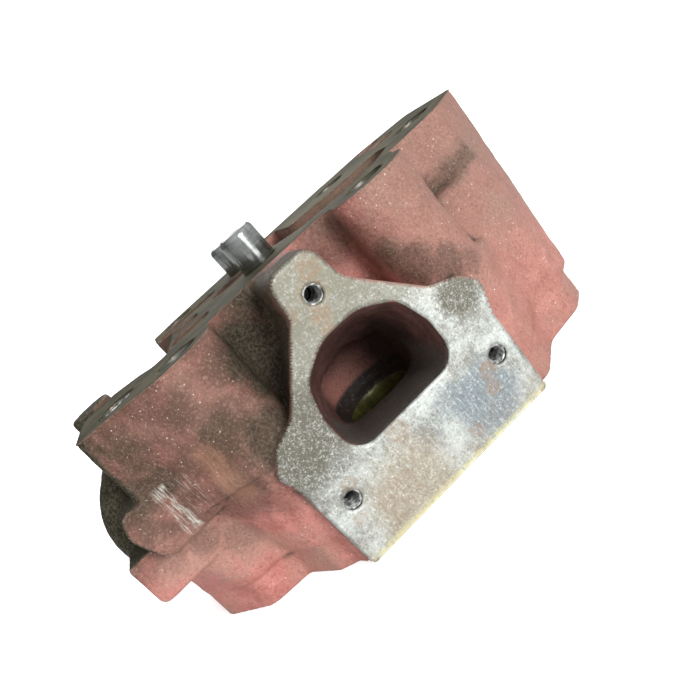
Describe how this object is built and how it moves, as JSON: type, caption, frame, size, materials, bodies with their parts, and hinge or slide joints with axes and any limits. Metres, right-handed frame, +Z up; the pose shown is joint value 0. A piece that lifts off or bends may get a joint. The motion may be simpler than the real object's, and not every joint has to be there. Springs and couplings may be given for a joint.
{
  "type": "engine cylinder head",
  "caption": "Water-cooled cast-iron cylinder head of a small diesel engine, with flanged exhaust port, pressed valve guides, seat inserts, injector sleeve and core plugs.",
  "frame": {"origin": "midway between the two valve axes, on the fire deck", "axes": "+Z up along the valve guides, -Y out of the exhaust flange, +X along the head towards the push-rod tubes"},
  "size_m": [0.2555, 0.169, 0.129],
  "materials": {
    "casting": "red-oxide primer over sand-cast skin, machined faces bare",
    "guide_steel": "ground and polished",
    "seat_steel": "machined",
    "sleeve_copper": "drawn copper, dull",
    "ring_rubber": "matt",
    "washer_copper": "soft copper",
    "plug_steel": "pressed steel, lightly rusted",
    "tube_steel": "drawn tube"
  },
  "bodies": {
    "root": {"head_casting": "casting", "exhaust_valve_guide": "guide_steel", "intake_valve_guide": "guide_steel", "exhaust_valve_seat": "seat_steel", "intake_valve_seat": "seat_steel", "injector_sleeve": "sleeve_copper", "injector_upper_ring": "ring_rubber", "injector_lower_ring": "washer_copper", "coolant_drain_plug": "plug_steel", "oil_gallery_plug": "plug_steel", "exhaust_pushrod_tube": "tube_steel", "intake_pushrod_tube": "tube_steel", "left_core_plug": "plug_steel", "shelf_core_plug": "plug_steel", "rear_left_core_plug": "plug_steel", "rear_right_core_plug": "plug_steel", "coolant_drain_washer": "washer_copper"}
  },
  "joints": []
}
